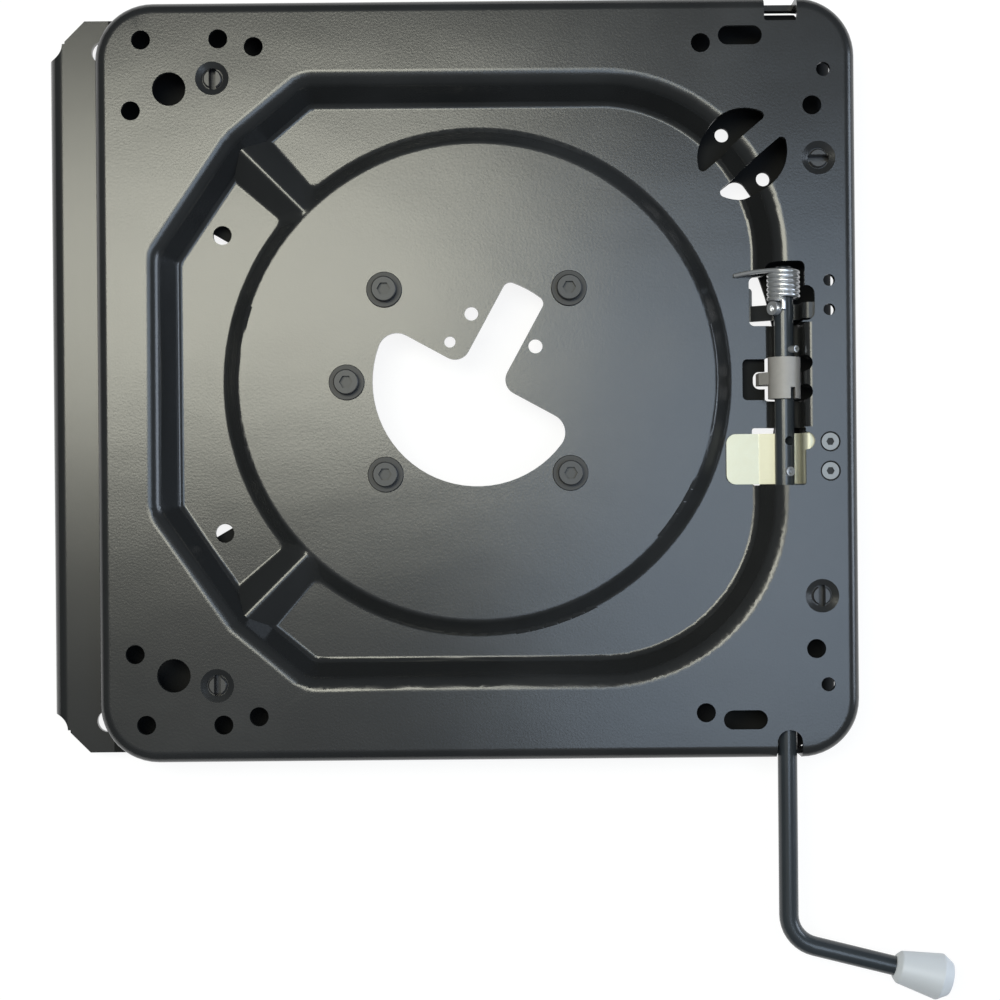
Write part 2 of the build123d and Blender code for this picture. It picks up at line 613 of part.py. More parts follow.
def lock_tab():
    """Raised tab with the lock notch, at the plateau's level, pointing to +X."""
    root = LOCK_TAB_R - LOCK_TAB_ROOT
    tab = box_outline(root, LOCK_TAB_R, -LOCK_TAB_HALF, LOCK_TAB_HALF, 2.0)
    notch_x = LOCK_TAB_R - LOCK_NOTCH_DEPTH
    half = LOCK_NOTCH_WIDTH / 2
    notch = box_outline(notch_x, LOCK_TAB_R + LOCK_NOTCH_WIDTH, -half, half, LOCK_NOTCH_R)
    return extrude(Pos(0, 0, PLATEAU_Z - SHEET) * (tab - notch), SHEET)


def base_outline():
    """Flat outline of the lower plate with its cut corners and flange reliefs."""
    middle = (BASE_LEFT_X + BASE_RIGHT_X) / 2
    reach = (BASE_RIGHT_X - BASE_LEFT_X) / 2
    flat = reach - BASE_BEND_R - 0.9
    shape = Rectangle(2 * reach + 10, 2 * BASE_FLANGE_HALF + 2 * BASE_RELIEF_R)
    for sx in (-1, 1):
        for sy in (-1, 1):
            side = sx * (reach + BASE_RELIEF_OFFSET)
            relief = Pos(side, sy * (BASE_FLANGE_HALF + BASE_RELIEF_R))
            shape -= relief * Circle(BASE_RELIEF_R)
    edge = chamfer(Rectangle(2 * flat, 2 * BASE_HALF_Y).vertices(), BASE_CORNER_CUT)
    return Pos(middle, 0) * (shape + edge)


def base_bolt_points():
    left = BASE_LEFT_X + BASE_HOLE_LEFT_INSET
    right = BASE_RIGHT_X - BASE_HOLE_RIGHT_INSET
    return rectangle_points((left + right) / 2, right - left, 2 * (BASE_HALF_Y - BASE_HOLE_SIDE_INSET))


def make_base_plate():
    plate = base_form(0.0) - base_form(SHEET)
    plate = plate & punch(base_outline())
    plate -= drill([(0, 0)], LAND_OUTER_R + BEARING_SEAT_R)
    plate -= [punch(void_sector(start, end) - lock_track()) for start, end in VOID_SPANS]
    tab = lock_tab()
    plate += [tab, Rot(0, 0, 180) * tab]
    holes = drill(base_bolt_points(), BASE_HOLE_R)
    for outset, angle in BASE_WINDOW_HOLES:
        holes += drill([polar_point(ACCESS_RADIUS + outset, ACCESS_ANGLE + angle)], BASE_WINDOW_HOLE_R)
    return plate - holes


# Centre bearing


def bolt_points():
    return [polar_point(BOLT_CIRCLE_R, angle) for angle in CENTRE_BOLT_ANGLES]


def ring(outer_r, inner_r, low_z, high_z):
    shape = Circle(outer_r) - Circle(inner_r)
    return extrude(Pos(0, 0, low_z) * shape, high_z - low_z)


def make_bearing_ring():
    """Pressed ring on the plateau: the land between the slide rings, and its flange."""
    corner = SHEET * math.tan(math.radians(22.5))
    flange_top = PLATEAU_Z + SHEET
    foot_r = LAND_OUTER_R + LAND_TOP_Z - flange_top
    under_r = LAND_OUTER_R - corner + LAND_UNDER_Z - PLATEAU_Z
    profile = Polyline(
        (LAND_INNER_R, LAND_TOP_Z),
        (LAND_OUTER_R, LAND_TOP_Z),
        (foot_r, flange_top),
        (foot_r + BEARING_FLANGE, flange_top),
        (foot_r + BEARING_FLANGE, PLATEAU_Z),
        (under_r, PLATEAU_Z),
        (LAND_OUTER_R - corner, LAND_UNDER_Z),
        (LAND_INNER_R, LAND_UNDER_Z),
        close=True,
    )
    return revolve(make_face(Plane.XZ * profile), Axis.Z)


def make_hub_spacer():
    spacer = ring(HUB_OUTER_R, HUB_INNER_R, RETAINING_TOP_Z, DISC_UNDER_Z)
    return spacer - drill(bolt_points(), BOLT_HOLE_R)


def make_retaining_ring():
    plate = ring(RETAINING_RING_R, HUB_INNER_R, RETAINING_UNDER_Z, RETAINING_TOP_Z)
    return plate - drill(bolt_points(), BOLT_HOLE_R)


def make_upper_slide_ring():
    return ring(LAND_OUTER_R - SLIDE_RING_INSET, LAND_INNER_R, LAND_TOP_Z, DISC_UNDER_Z)


def make_lower_slide_ring():
    return ring(RETAINING_RING_R, LAND_INNER_R, RETAINING_TOP_Z, LAND_UNDER_Z)


def hex_prism(flats, low_z, high_z):
    hexagon = RegularPolygon(flats / 2, 6, major_radius=False)
    return extrude(Pos(0, 0, low_z) * hexagon, high_z - low_z)


def cap_bolt(under_head_z, end_z):
    """Low socket head screw standing on the Z axis, head up."""
    top_z = under_head_z + BOLT_HEAD_H
    head = Pos(0, 0, (under_head_z + top_z) / 2) * Cylinder(BOLT_HEAD_R, BOLT_HEAD_H)
    head = chamfer(head.edges().sort_by(Axis.Z)[-1], 0.5)
    shank_l = under_head_z - end_z
    shank = Pos(0, 0, (under_head_z + end_z) / 2) * Cylinder(BOLT_D / 2, shank_l)
    shank = chamfer(shank.edges().sort_by(Axis.Z)[0], 0.8)
    return head + shank - hex_prism(BOLT_HEX, top_z - BOLT_HEX_DEPTH, top_z + 1.0)


def nut(flats, height, bore_r, top_z):
    body = hex_prism(flats, top_z - height, top_z)
    rounding = Pos(0, 0, top_z - height / 2) * Cylinder(flats * 0.56, height)
    rounding = chamfer(rounding.edges(), flats * 0.04)
    return (body & rounding) - Pos(0, 0, top_z - height / 2) * Cylinder(bore_r, 2 * height)


def make_centre_bolts():
    bolt = cap_bolt(DISC_Z + WASHER_T, RETAINING_UNDER_Z - NUT_H - NUT_STANDOUT)
    return [Pos(x, y, 0) * bolt for x, y in bolt_points()]


def make_centre_washers():
    washer = ring(WASHER_R, BOLT_HOLE_R, DISC_Z, DISC_Z + WASHER_T)
    washer = chamfer(washer.edges().filter_by(GeomType.CIRCLE).sort_by(SortBy.RADIUS)[-1], 0.3)
    return [Pos(x, y, 0) * washer for x, y in bolt_points()]


def make_centre_nuts():
    part = nut(NUT_FLATS, NUT_H, BOLT_D / 2 + BEARING_GAP, RETAINING_UNDER_Z)
    return [Pos(x, y, 0) * part for x, y in bolt_points()]


# Glide buttons


def make_glide(x, y, slot_angle):
    """Turned plastic glide: foot, body and a split stem that snaps into the rim."""
    top_z = RIM_Z - GLIDE_STEM_BELOW_RIM
    low_z = BASE_TOP_Z
    profile = Polyline(
        (0, low_z),
        (GLIDE_FOOT_R - 1.0, low_z),
        (GLIDE_FOOT_R, low_z + 1.0),
        (GLIDE_FOOT_R, low_z + GLIDE_FOOT_H),
        (GLIDE_BODY_R, low_z + GLIDE_FOOT_H + 2.0),
        (GLIDE_BODY_R, RIM_UNDER_Z),
        (GLIDE_STEM_R, RIM_UNDER_Z),
        (GLIDE_STEM_R, top_z - 0.7),
        (GLIDE_STEM_R - 0.7, top_z),
        (0, top_z),
        close=True,
    )
    face = make_face(Plane.XZ * profile)
    body = revolve(face, Axis.Z)
    slot = Box(4 * GLIDE_STEM_R, GLIDE_SLOT_W, 2 * GLIDE_SLOT_DEPTH)
    body -= Pos(0, 0, top_z) * Rot(0, 0, slot_angle) * slot
    return Pos(x, y, 0) * body


# Lever and lock


def rod_axis_plane(y):
    """Plane square to the rod at y, with local x to +X and local y to +Z."""
    return Plane(origin=(ROD_X, y, ROD_Z), x_dir=(1, 0, 0), z_dir=(0, -1, 0))


def arm_direction():
    angle = math.radians(ARM_DROP_ANGLE)
    return Vector(math.cos(angle), -math.sin(angle), 0)


def lever_knob_start():
    return Vector(ROD_X, ROD_BEND_Y, ROD_Z) + arm_direction() * ARM_TO_KNOB


def radial_tool(y, tilt, radius, start, end):
    """Cylinder square to the rod: tilt is measured from +Z towards +X."""
    lean = math.radians(tilt)
    direction = Vector(math.sin(lean), 0, math.cos(lean))
    centre = Vector(ROD_X, y, ROD_Z)
    plane = Plane(origin=centre + direction * start, z_dir=direction)
    return extrude(plane * Circle(radius), end - start)


def make_lever_rod():
    end = lever_knob_start() + arm_direction() * (KNOB_BORE_DEPTH - 0.5)
    path = FilletPolyline(
        (ROD_X, ROD_TOP_Y, ROD_Z),
        (ROD_X, ROD_BEND_Y, ROD_Z),
        (end.X, end.Y, end.Z),
        radius=ROD_BEND_R,
    )
    rod = sweep(rod_axis_plane(ROD_TOP_Y) * Circle(ROD_R), path=path)
    top = [e for e in rod.edges() if abs(e.center().Y - ROD_TOP_Y) < 1e-3]
    rod = chamfer(top, 0.8)
    rod -= radial_tool(STOP_PIN_Y, STOP_PIN_TILT, STOP_PIN_R, -2 * ROD_R, 2 * ROD_R)
    rod -= radial_tool(ROD_PIN_Y, ROD_PIN_TILT, ROD_PIN_R, -ROD_R + 1.0, 2 * ROD_R)
    rod -= radial_tool(ROD_HOLE_Y, ROD_PIN_TILT, ROD_PIN_R, -ROD_R + 1.0, 2 * ROD_R)
    rod -= radial_tool(SCREW_Y, SCREW_TILT, SCREW_SHANK_R, 0, 2 * ROD_R)
    return rod


def make_lever_knob():
    start = lever_knob_start()
    plane = Plane(origin=start, x_dir=(0, 0, 1), z_dir=arm_direction())
    outline = [
        (0, 0),
        (KNOB_SMALL_R - 2.5, 0),
        (KNOB_SMALL_R, 2.5),
        (KNOB_BIG_R, KNOB_LENGTH - 6.5),
        (KNOB_BIG_R - 3.5, KNOB_LENGTH - 0.8),
        (0, KNOB_LENGTH),
    ]
    profile = make_face(Plane.XZ * Polyline(*outline, close=True))
    body = revolve(profile, Axis.Z)
    belts = [e for e in body.edges().filter_by(GeomType.CIRCLE) if e.radius > KNOB_SMALL_R - 3]
    rounded = [e for e in belts if e.radius > KNOB_BIG_R - 4 or e.center().Z < 3]
    body = fillet(rounded, 1.6)
    bore = Pos(0, 0, KNOB_BORE_DEPTH / 2) * Cylinder(ROD_R + SLEEVE_BORE_GAP, KNOB_BORE_DEPTH)
    return plane.location * (body - bore)


def make_lock_sleeve():
    """Sleeve on the rod with the lock nose that reaches down to the lower plate."""
    barrel = Circle(SLEEVE_R)
    nose_low = PLATEAU_Z + NOSE_HOVER - ROD_Z
    nose_left = -NOSE_REACH
    nose = Polyline(
        (nose_left, nose_low),
        (nose_left + NOSE_THICK, nose_low),
        (nose_left + NOSE_THICK + 2.0, -SLEEVE_R * 0.75),
        (0, 0),
        (nose_left + 5.0, SLEEVE_R * 0.35),
        (nose_left, -SLEEVE_R * 0.6),
        close=True,
    )
    body = extrude(rod_axis_plane(SLEEVE_HALF) * barrel, 2 * SLEEVE_HALF)
    arm = extrude(rod_axis_plane(NOSE_WIDTH / 2) * make_face(nose), NOSE_WIDTH)
    body += arm
    bore = rod_axis_plane(2 * SLEEVE_HALF) * Circle(ROD_R + SLEEVE_BORE_GAP)
    body -= extrude(bore, 4 * SLEEVE_HALF)
    slot = Box(SLEEVE_SLOT_W, 2 * SLEEVE_SLOT_L, 2 * SLEEVE_R)
    return body - Pos(ROD_X + 3.4, -SLEEVE_HALF, ROD_Z + SLEEVE_R) * slot


def make_stop_pin():
    pin = radial_tool(STOP_PIN_Y, STOP_PIN_TILT, STOP_PIN_R, -ROD_R, STOP_PIN_REACH)
    return pin - radial_tool(STOP_PIN_Y, STOP_PIN_TILT, STOP_PIN_R * 0.5, -2 * ROD_R, 3 * ROD_R)


def make_rod_pin():
    low = -ROD_R + 1.0
    pin = radial_tool(ROD_PIN_Y, ROD_PIN_TILT, ROD_PIN_R, low, ROD_PIN_REACH)
    return pin - radial_tool(ROD_PIN_Y, ROD_PIN_TILT, ROD_PIN_R * 0.55, 0, 3 * ROD_R)


def make_spring_screw():
    head_start = ROD_R + 0.4
    head_end = head_start + SCREW_HEAD_H
    screw = radial_tool(SCREW_Y, SCREW_TILT, SCREW_HEAD_R, head_start, head_end)
    screw += radial_tool(SCREW_Y, SCREW_TILT, SCREW_SHANK_R, 0.5, head_start + 0.5)
    return screw - radial_tool(SCREW_Y, SCREW_TILT, SCREW_HEAD_R * 0.45, head_end - 2.0, head_end + 1)


def make_torsion_spring():
    """Closed coil round the rod: one leg rests on the platform, one by the screw."""
    foot = Vector(ROD_X - SPRING_FOOT_REACH, SPRING_FOOT_Y, PLATFORM_Z + WIRE_R + 0.1)
    side = -SPRING_FOOT_REACH
    height = foot.Z - ROD_Z
    toward = math.degrees(math.atan2(height, side)) % 360
    leave = toward - math.degrees(math.acos(COIL_R / math.hypot(side, height)))
    turns = COIL_TURNS + (leave - COIL_END_ANGLE) / 360
    coil = Helix(COIL_PITCH, turns * COIL_PITCH, COIL_R, lefthand=True)
    along_rod = Plane(origin=(0, 0, 0), x_dir=(1, 0, 0), z_dir=(0, -1, 0))
    coil = Pos(ROD_X, COIL_TOP_Y, ROD_Z) * Rot(0, -leave, 0) * (along_rod * coil)
    leg = TangentArc(coil @ 0, foot, tangent=(coil % 0) * -1)
    away = coil % 1
    bend_end = (coil @ 1) + (away + Vector(0, -1, 0)) * SPRING_TAIL_R
    bend = TangentArc(coil @ 1, bend_end, tangent=away)
    tail = Line(bend @ 1, (bend @ 1) + (bend % 1) * SPRING_TAIL)
    section = Plane(origin=foot, z_dir=(leg % 1) * -1) * Circle(WIRE_R)
    return sweep(section, path=Wire([leg.edge(), coil.edge(), bend.edge(), tail.edge()]))


# Rod brackets


def flange_points(centre_y):
    half = FLANGE_HOLE_SPACING / 2
    return [(FLANGE_HOLE_X, centre_y - half), (FLANGE_HOLE_X, centre_y + half)]


def strap_solid(points, radii, y_low, y_high):
    """Folded strap: a centre line in XZ, thickened and given its width along Y."""
    line = FilletPolyline(*points, radius=radii)
    face = trace(line, STRAP)
    plane = Plane(origin=(0, y_high, 0), x_dir=(1, 0, 0), z_dir=(0, -1, 0))
    return extrude(plane * face, y_high - y_low)


def cradle(left_x, left_top_z, rise_x, y_low, y_high):
    """Folded strap that passes under the rod and hangs from the rim."""
    under = ROD_Z - ROD_R - BEARING_GAP
    side = ROD_X + ROD_R + 3.6
    middle = STRAP / 2
    points = [
        (left_x, left_top_z - middle),
        (rise_x, left_top_z - middle),
        (ROD_X - 4.5, under - middle),
        (side + middle, under - middle),
        (side + middle, RIM_UNDER_Z - middle),
        (FLANGE_REACH, RIM_UNDER_Z - middle),
    ]
    return strap_solid(points, [2.5, 2.5, 4.0, 2.5], y_low, y_high)


def make_lower_bracket():
    tab_top = PLATFORM_Z + STRAP
    y_low, y_high = LOWER_BRACKET_Y
    tab_x = ROD_X - LOWER_TAB_REACH
    body = cradle(tab_x, tab_top, RECESS_RIGHT_X + 1.0, y_low, y_high)
    tab_end = [e for e in body.edges().filter_by(Axis.Z) if e.center().X < tab_x + 1.0]
    body = fillet(tab_end, LOWER_TAB_R)
    return body - drill(flange_points(LOWER_HOLES_Y), FLANGE_HOLE_R)


def make_upper_bracket():
    foot_top = PLATFORM_Z - SHEET
    y_low, y_high = UPPER_BRACKET_Y
    foot_x = ROD_X - UPPER_FOOT_REACH
    body = cradle(foot_x, foot_top, ROD_X - UPPER_FOOT_RISE, y_low, y_high)
    foot = box_outline(foot_x, ROD_X - UPPER_FOOT_END, UPPER_FOOT_Y[0], UPPER_FOOT_Y[1], 2.0)
    body += extrude(Pos(0, 0, foot_top - STRAP) * foot, STRAP)
    flange_x = ROD_X + CHANNEL_R + CHANNEL_EDGE_R + 2.0
    flange = box_outline(flange_x, FLANGE_REACH, UPPER_FLANGE_Y[0], UPPER_FLANGE_Y[1], 3.0)
    body += extrude(Pos(0, 0, RIM_UNDER_Z - STRAP) * flange, STRAP)
    return body - drill(flange_points(UPPER_HOLES_Y), FLANGE_HOLE_R)


def make_bracket_screws():
    top_z = RIM_Z - FLANGE_SCREW_SUNK
    depth = FLANGE_SCREW_HEAD_R - FLANGE_SCREW_R
    head = Pos(0, 0, top_z - depth / 2) * Cone(FLANGE_SCREW_R, FLANGE_SCREW_HEAD_R, depth)
    end_z = RIM_UNDER_Z - STRAP - FLANGE_NUT_H - 1.0
    low_z = top_z - depth / 2
    shank = Pos(0, 0, (low_z + end_z) / 2) * Cylinder(FLANGE_SCREW_R, low_z - end_z)
    screw = head + shank - hex_prism(FLANGE_SCREW_HEX, top_z - 1.2, top_z + 1.0)
    return [Pos(x, y, 0) * screw for x, y in flange_points(LOWER_HOLES_Y)]


def make_bracket_nuts():
    part = nut(FLANGE_NUT_FLATS, FLANGE_NUT_H, FLANGE_HOLE_R, RIM_UNDER_Z - STRAP)
    return [Pos(x, y, 0) * part for x, y in flange_points(LOWER_HOLES_Y)]


def write(name, shape):
    """Write one node; a list is a group of separate solids."""
    if isinstance(shape, list):
        shape = Compound(children=shape)
    export_step(shape, os.path.join("parts", name + ".step"))


os.makedirs("parts", exist_ok=True)
write("top_plate", make_top_plate())
write("base_plate", make_base_plate())
write("bearing_ring", make_bearing_ring())
write("hub_spacer", make_hub_spacer())
write("retaining_ring", make_retaining_ring())
write("upper_slide_ring", make_upper_slide_ring())
write("lower_slide_ring", make_lower_slide_ring())
write("centre_bolts", make_centre_bolts())
write("centre_washers", make_centre_washers())
write("centre_nuts", make_centre_nuts())
for index, (point, slot_angle) in enumerate(zip(glide_points(), GLIDE_SLOT_ANGLES), start=1):
    write("glide_button_%d" % index, make_glide(point[0], point[1], slot_angle))
write("lever_rod", make_lever_rod())
write("lever_knob", make_lever_knob())
write("lock_sleeve", make_lock_sleeve())
write("stop_pin", make_stop_pin())
write("rod_pin", make_rod_pin())
write("spring_screw", make_spring_screw())
write("torsion_spring", make_torsion_spring())
write("lower_bracket", make_lower_bracket())
write("upper_bracket", make_upper_bracket())
write("bracket_screws", make_bracket_screws())
write("bracket_nuts", make_bracket_nuts())
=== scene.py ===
import json
import math

import bmesh
import bpy
from bpy.props import FloatProperty, FloatVectorProperty
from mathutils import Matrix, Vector

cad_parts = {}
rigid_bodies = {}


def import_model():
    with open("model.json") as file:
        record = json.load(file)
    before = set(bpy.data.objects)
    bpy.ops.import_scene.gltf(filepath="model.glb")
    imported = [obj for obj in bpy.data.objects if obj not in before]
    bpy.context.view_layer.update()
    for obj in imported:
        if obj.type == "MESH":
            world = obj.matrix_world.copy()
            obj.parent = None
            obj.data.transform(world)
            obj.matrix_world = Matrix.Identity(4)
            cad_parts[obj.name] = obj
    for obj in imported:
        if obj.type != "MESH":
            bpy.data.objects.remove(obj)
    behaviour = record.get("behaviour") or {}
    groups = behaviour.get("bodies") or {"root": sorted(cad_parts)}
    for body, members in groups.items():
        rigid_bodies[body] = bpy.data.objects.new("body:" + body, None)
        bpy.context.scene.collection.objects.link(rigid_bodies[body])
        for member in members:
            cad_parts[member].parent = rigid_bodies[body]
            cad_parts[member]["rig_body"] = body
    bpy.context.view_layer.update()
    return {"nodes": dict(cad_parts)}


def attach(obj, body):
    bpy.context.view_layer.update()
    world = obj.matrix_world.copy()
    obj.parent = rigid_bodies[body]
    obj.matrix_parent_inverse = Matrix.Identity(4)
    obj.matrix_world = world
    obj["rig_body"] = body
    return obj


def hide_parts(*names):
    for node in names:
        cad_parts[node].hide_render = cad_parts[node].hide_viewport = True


bl_info = {
    "name": "Swivel Seat Base",
    "version": (1, 0, 0),
    "blender": (4, 2, 0),
    "location": "View3D > Sidebar > Seat Base",
    "description": "Dresses a pressed-steel swivel seat base in its paint, plating and small details",
    "category": "Add Mesh",
}

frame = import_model()
NODES = frame["nodes"]

# Corners that stay crisp, as angles between faces in degrees

PLATE_CREASE = 20
BASE_CREASE = 24
KNOB_CREASE = 35
WIRE_CREASE = 40

# Places in metres, in the frame's own axes

STRIP_EDGE_X = -0.1935          # the base plate shows beside the turntable from here outwards
SCREW_SOCKET_Z = 0.0471         # a flange screw's socket lies below this level

# Share of each metal finish that reflects like bare metal

SPRING_METAL = 0.8
BRACKET_METAL = 0.4
SLEEVE_METAL = 0.15
WORN_SCREW_METAL = 0.3

# Coats and plastics that are not in the settings

BRACKET_BLACK = (0.014, 0.015, 0.016)
ROD_BLACK = (0.030, 0.036, 0.042)
SCREW_BLACK = (0.030, 0.031, 0.033)
WASHER_BLACK = (0.012, 0.012, 0.013)
# Painted shade in the flange screws' sockets
SOCKET_SHADE = (0.008, 0.008, 0.009)
WORN_STEEL = (0.26, 0.27, 0.28)
GLIDE_BLACK = (0.030, 0.030, 0.032)
SLIDE_RING_GREY = (0.50, 0.50, 0.47)

# Stage

WORLD_COLOUR = (0.80, 0.84, 0.90)
WORLD_STRENGTH = 0.12
FLOOR_WHITE = (0.90, 0.90, 0.90)
FLOOR_GLOW = 1.1
FLOOR_GLOW_SHARE = 0.80         # the part of the floor's look that glows; the rest takes shadow
CAMERA_X = 0.0112
CAMERA_Y = -0.0616
CAMERA_TURN = -0.51
SENSOR_WIDTH = 36.0
LAMPS = (
    # name, place, aim, size, power in watts, colour
    ("Window left", (-0.46, 0.29, 2.0), (-0.46, 0.29, 0), (1.0, 0.54), 22.5, (1.0, 0.99, 0.84)),
    ("Window right", (0.48, -0.08, 2.0), (0.48, -0.08, 0), (0.8, 0.95), 10.5, (0.64, 0.80, 1.0)),
    ("Ceiling", (0, 0, 2.6), (0, 0, 0), (3.0, 3.0), 6.0, (1.0, 1.0, 1.0)),
    ("Low window", (1.7, 0.1, 0.60), (-0.1, 0.0, 0.0), (0.9, 0.6), 11.0, (0.74, 0.85, 1.0)),
)


# Shader maths


class Sock:
    """One socket of a material's node tree, with arithmetic that adds Math nodes."""

    def __init__(self, tree, link):
        self.tree = tree
        self.link = link

    def _math(self, operation, *values):
        return self.tree.node("ShaderNodeMath", {"operation": operation}, dict(enumerate(values)))

    def __add__(self, other):
        return self._math("ADD", self, other)

    def __radd__(self, other):
        return self._math("ADD", other, self)

    def __sub__(self, other):
        return self._math("SUBTRACT", self, other)

    def __rsub__(self, other):
        return self._math("SUBTRACT", other, self)

    def __mul__(self, other):
        return self._math("MULTIPLY", self, other)

    def __rmul__(self, other):
        return self._math("MULTIPLY", other, self)

    def __truediv__(self, other):
        return self._math("DIVIDE", self, other)

    def __rtruediv__(self, other):
        return self._math("DIVIDE", other, self)

    def __pow__(self, other):
        return self._math("POWER", self, other)

    def __gt__(self, other):
        return self._math("GREATER_THAN", self, other)

    def __lt__(self, other):
        return self._math("LESS_THAN", self, other)

    def clamp(self):
        kind = {"operation": "ADD", "use_clamp": True}
        return self.tree.node("ShaderNodeMath", kind, {0: self, 1: 0.0})


class Finish:
    """A new material whose nodes are added by one method."""

    def __init__(self, name):
        self.material = bpy.data.materials.new(name)
        self.material.use_nodes = True
        self.nodes = self.material.node_tree.nodes
        self.links = self.material.node_tree.links
        self.nodes.clear()
        self.shader = self.nodes.new("ShaderNodeBsdfPrincipled")
        self.output = self.nodes.new("ShaderNodeOutputMaterial")
        self.links.new(self.shader.outputs[0], self.output.inputs[0])

    def node(self, kind, settings=None, inputs=None, output=0):
        made = self.nodes.new(kind)
        for key, value in (settings or {}).items():
            if key == "stops":
                self._stops(made.color_ramp, value)
            else:
                setattr(made, key, value)
        for key, value in (inputs or {}).items():
            self.feed(made.inputs[key], value)
        return Sock(self, made.outputs[output])

    def _stops(self, ramp, stops):
        while len(ramp.elements) < len(stops):
            ramp.elements.new(0.5)
        for element, (place, colour) in zip(ramp.elements, stops):
            element.position = place
            element.color = (*colour, 1.0) if len(colour) == 3 else colour

    def feed(self, socket, value):
        if isinstance(value, Sock):
            self.links.new(value.link, socket)
        elif isinstance(value, tuple) and len(value) == 3 and socket.type == "RGBA":
            socket.default_value = (*value, 1.0)
        else:
            socket.default_value = value

    def set(self, **values):
        for name, value in values.items():
            self.feed(self.shader.inputs[name.replace("_", " ")], value)
        return self

    def place(self, scale=(1.0, 1.0, 1.0), centre=(0.0, 0.0, 0.0), turn=(0.0, 0.0, 0.0)):
        coords = self.node("ShaderNodeTexCoord", output=3)
        turned = tuple(math.radians(a) for a in turn)
        inputs = {"Vector": coords, "Location": centre, "Rotation": turned, "Scale": scale}
        return self.node("ShaderNodeMapping", {"vector_type": "POINT"}, inputs)

    def noise(self, where, scale, detail=3.0, roughness=0.5):
        inputs = {"Vector": where, "Scale": scale, "Detail": detail, "Roughness": roughness}
        return self.node("ShaderNodeTexNoise", {}, inputs)

    def ramp(self, value, stops):
        return self.node("ShaderNodeValToRGB", {"stops": stops}, {"Fac": value})

    def mix(self, mask, first, second):
        inputs = {0: mask, 6: first, 7: second}
        return self.node("ShaderNodeMix", {"data_type": "RGBA"}, inputs, output=2)

    def bump(self, height, strength, distance):
        inputs = {"Strength": strength, "Distance": distance, "Height": height}
        return self.node("ShaderNodeBump", {}, inputs)

    def axes(self, where):
        parts = self.nodes.new("ShaderNodeSeparateXYZ")
        self.links.new(where.link, parts.inputs[0])
        return [Sock(self, out) for out in parts.outputs]


def dress(material, *names):
    """Give whole CAD nodes one material."""
    for name in names:
        mesh = NODES[name].data
        mesh.materials.clear()
        mesh.materials.append(material)


def smooth_copy(name, crease, material):
    """Put a merged, smooth-shaded copy of a CAD node in its place, with its material."""
    source = NODES[name]
    mesh = source.data.copy()
    bm = bmesh.new()
    bm.from_mesh(mesh)
    bmesh.ops.remove_doubles(bm, verts=bm.verts, dist=1e-6)
    for face in bm.faces:
        face.smooth = True
    for edge in bm.edges:
        sharp = len(edge.link_faces) != 2 or edge.calc_face_angle(0.0) > math.radians(crease)
        edge.smooth = not sharp
    bm.to_mesh(mesh)
    bm.free()
    copy = bpy.data.objects.new(name + "_skin", mesh)
    bpy.context.scene.collection.objects.link(copy)
    even = copy.modifiers.new("Even shading", "WEIGHTED_NORMAL")
    even.mode = "FACE_AREA"
    even.weight = 80
    even.thresh = 2e-5
    even.keep_sharp = True
    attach(copy, source["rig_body"])
    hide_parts(name)
    mesh.materials.clear()
    mesh.materials.append(material)


# Finishes


def black_paint(name, colour, gloss, grain):
    """Glossy black electrocoat with a faint skin and a little handling dust."""
    finish = Finish(name)
    where = finish.place()
    skin = finish.noise(where, 900.0 * grain, 2.0)
    cloud = finish.noise(where, 9.0, 4.0, 0.6)
    wave = finish.noise(finish.place(scale=(1.0, 1.7, 1.0)), 16.0, 1.0, 0.4)
    dust = finish.ramp(cloud, [(0.48, (0.0, 0.0, 0.0)), (0.75, (1.0, 1.0, 1.0))])
    dusty = tuple(min(1.0, c * 1.25 + 0.006) for c in colour)
    finish.set(
        Base_Color=finish.mix(dust, colour, dusty),
        Roughness=gloss + 0.06 * cloud,
        Metallic=0.0,
        IOR=1.5,
        Normal=finish.bump(skin * 0.12 + wave, 0.25, 0.0010),
    )
    return finish.material


def shaded_paint(name, colour, gloss):
    """The base plate's coat: dull and painted darker as shade below the turntable, glossy on the
    strip beside it.
    """
    finish = Finish(name)
    where = finish.place()
    strip = finish.axes(where)[0] < STRIP_EDGE_X
    skin = finish.noise(where, 990.0, 2.0)
    cloud = finish.noise(where, 9.0, 4.0, 0.6)
    wave = finish.noise(finish.place(scale=(1.0, 1.7, 1.0)), 16.0, 1.0, 0.4)
    # Painted shade: below the turntable the coat's colour is darkened to about a third, as shade.
    painted_shade = tuple(c * 0.35 for c in colour)
    dull = 0.62
    finish.set(
        Base_Color=finish.mix(strip, painted_shade, colour),
        Roughness=dull - strip * (dull - gloss) + 0.06 * cloud,
        Metallic=0.0,
        IOR=1.25,
        Coat_Weight=0.65 * strip,
        Coat_Roughness=gloss,
        Coat_IOR=1.5,
        Normal=finish.bump(skin * 0.12 + wave, 0.25, 0.0010),
    )
    return finish.material


def plated(name, colour, roughness, wear=0.12, metal=1.0):
    """Zinc plating: fine crystals and small dull patches."""
    finish = Finish(name)
    where = finish.place()
    crystals = finish.noise(where, 2200.0, 2.0)
    patches = finish.noise(where, 240.0, 4.0, 0.65)
    dull = tuple(c * (1.0 - wear * 2) for c in colour)
    finish.set(
        Base_Color=finish.mix(patches, dull, colour),
        Roughness=roughness + 0.14 * patches,
        Metallic=metal,
        Normal=finish.bump(crystals, 0.12, 0.0001),
    )
    return finish.material


def socket_screw(name, colour, roughness):
    """A worn screw head whose socket is painted dark as shade."""
    finish = Finish(name)
    where = finish.place()
    face = finish.axes(where)[2] > SCREW_SOCKET_Z
    patches = finish.noise(where, 240.0, 4.0, 0.65)
    finish.set(
        # The socket, below SCREW_SOCKET_Z, is painted dark as shade.
        Base_Color=finish.mix(face, SOCKET_SHADE, colour),
        Roughness=roughness + 0.14 * patches,
        Metallic=WORN_SCREW_METAL,
    )
    return finish.material


